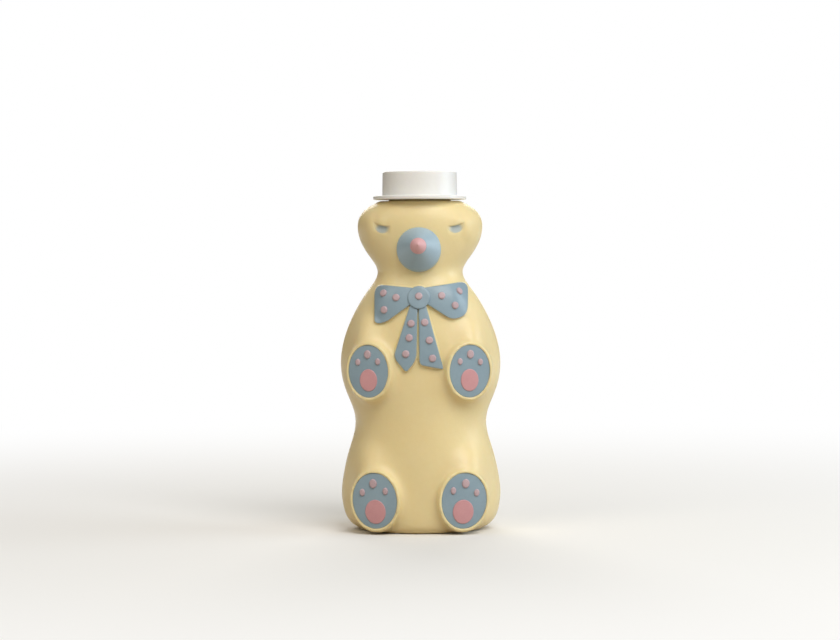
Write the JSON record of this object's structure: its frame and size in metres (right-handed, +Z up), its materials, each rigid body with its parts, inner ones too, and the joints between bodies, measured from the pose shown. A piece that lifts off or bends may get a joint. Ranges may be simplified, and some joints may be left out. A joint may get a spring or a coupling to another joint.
{
  "type": "powder bottle",
  "caption": "Bear-shaped baby powder bottle with a hat-shaped screw cap, a sifter plug in its neck, and blue and pink inlays for the muzzle, eyes, bow and paws.",
  "frame": {"origin": "centre of the bottle's footprint on the surface it stands on, on the axis of the neck", "axes": "+Z up along the neck's axis, -Y the way the bear faces, +X to the right of someone who looks at its face"},
  "size_m": [0.085, 0.0672, 0.19],
  "materials": {
    "butter_plastic": "satin blow-moulded",
    "blue_plastic": "satin",
    "pink_plastic": "satin",
    "white_plastic": "smooth moulded",
    "sifter_plastic": "satin",
    "seal_foam": "matt foam"
  },
  "bodies": {
    "bottle": {"bottle_shell": "butter_plastic", "sifter_plug": "sifter_plastic", "left_hand_sole": "blue_plastic", "right_hand_sole": "blue_plastic", "left_foot_sole": "blue_plastic", "right_foot_sole": "blue_plastic", "left_bow_loop": "blue_plastic", "right_bow_loop": "blue_plastic", "left_bow_tail": "blue_plastic", "right_bow_tail": "blue_plastic", "bow_knot": "blue_plastic", "muzzle": "blue_plastic", "left_eye": "blue_plastic", "right_eye": "blue_plastic", "left_hand_palm": "pink_plastic", "left_hand_toe_1": "pink_plastic", "left_hand_toe_2": "pink_plastic", "left_hand_toe_3": "pink_plastic", "right_hand_palm": "pink_plastic", "right_hand_toe_1": "pink_plastic", "right_hand_toe_2": "pink_plastic", "right_hand_toe_3": "pink_plastic", "left_foot_palm": "pink_plastic", "left_foot_toe_1": "pink_plastic", "left_foot_toe_2": "pink_plastic", "left_foot_toe_3": "pink_plastic", "right_foot_palm": "pink_plastic", "right_foot_toe_1": "pink_plastic", "right_foot_toe_2": "pink_plastic", "right_foot_toe_3": "pink_plastic", "left_bow_loop_dot_1": "pink_plastic", "left_bow_loop_dot_2": "pink_plastic", "left_bow_loop_dot_3": "pink_plastic", "right_bow_loop_dot_1": "pink_plastic", "right_bow_loop_dot_2": "pink_plastic", "right_bow_loop_dot_3": "pink_plastic", "left_bow_tail_dot_1": "pink_plastic", "left_bow_tail_dot_2": "pink_plastic", "left_bow_tail_dot_3": "pink_plastic", "right_bow_tail_dot_1": "pink_plastic", "right_bow_tail_dot_2": "pink_plastic", "right_bow_tail_dot_3": "pink_plastic", "bow_knot_dot_1": "pink_plastic", "nose": "pink_plastic"},
    "seal": {"seal_disc": "seal_foam"},
    "hat": {"hat_cap": "white_plastic"}
  },
  "joints": [
    {"name": "cap_rise", "type": "slide", "parent": "bottle", "child": "seal", "axis": [0, 0, 1], "range_m": [0, 0.0125]},
    {"name": "cap_turn", "type": "hinge", "parent": "seal", "child": "hat", "pos_m": [0, 0, 0.183], "axis": [0, 0, 1], "range_deg": [0, 900]}
  ],
  "couplings": [
    {"joint": "cap_rise", "follows": "cap_turn", "m_per_rad": 0.0007957}
  ]
}
